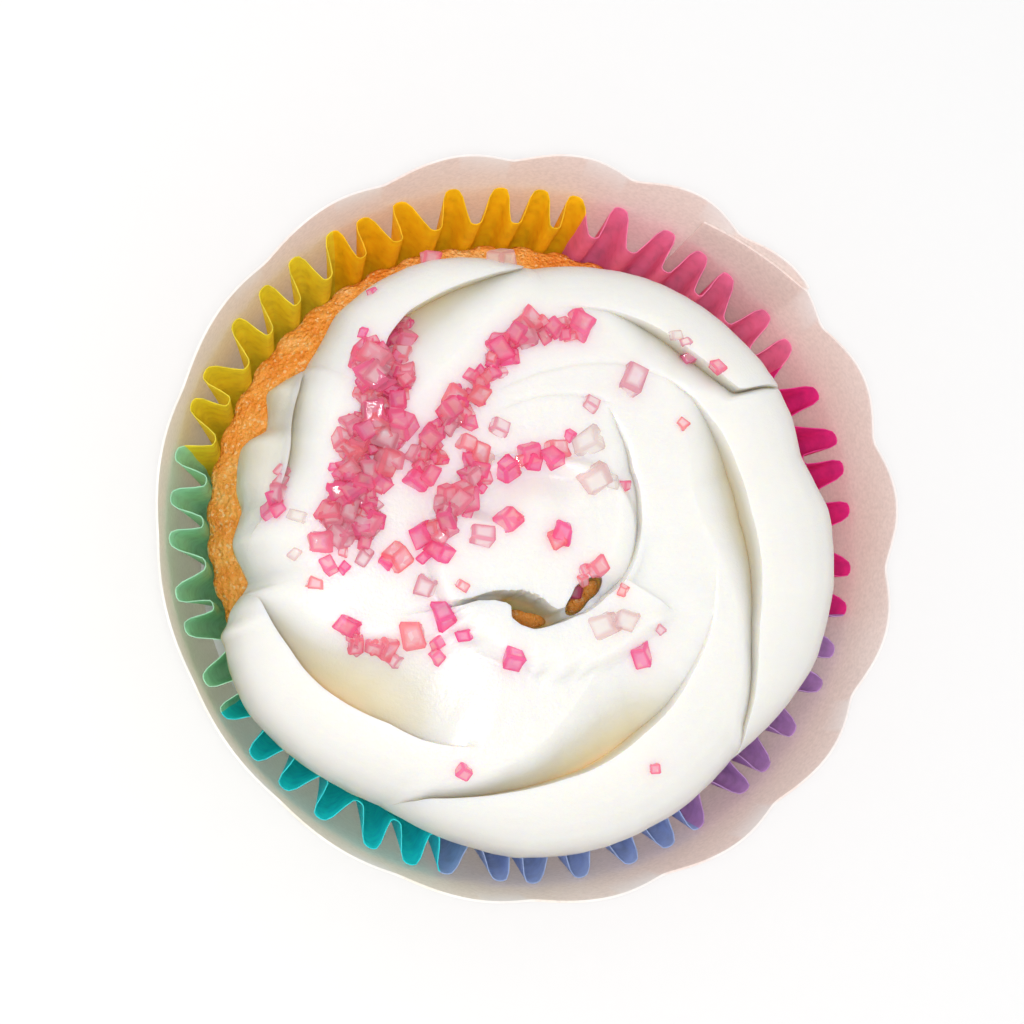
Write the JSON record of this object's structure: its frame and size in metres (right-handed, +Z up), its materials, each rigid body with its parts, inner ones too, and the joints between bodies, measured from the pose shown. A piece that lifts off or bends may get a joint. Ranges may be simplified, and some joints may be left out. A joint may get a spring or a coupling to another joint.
{
  "type": "cupcake",
  "caption": "Cupcake with a piped icing swirl, in a pleated paper case that stands inside a flared card wrapper with a scalloped edge.",
  "frame": {"origin": "middle of the base, on the surface that the cupcake stands on", "axes": "+Z up along the case's axis; the sponge's crown leans a little up towards +X"},
  "size_m": [0.0735, 0.0733, 0.0488],
  "materials": {
    "case_paper": "thin coloured baking paper in bands of changing colour",
    "wrapper_card": "smooth pearly card",
    "baked_sponge": "moist golden crumb",
    "buttercream": "soft satin icing",
    "sugar_crystal": "clear and pink coarse sugar"
  },
  "bodies": {
    "root": {"paper_case": "case_paper", "wrapper": "wrapper_card", "sponge": "baked_sponge", "icing": "buttercream"}
  },
  "joints": []
}
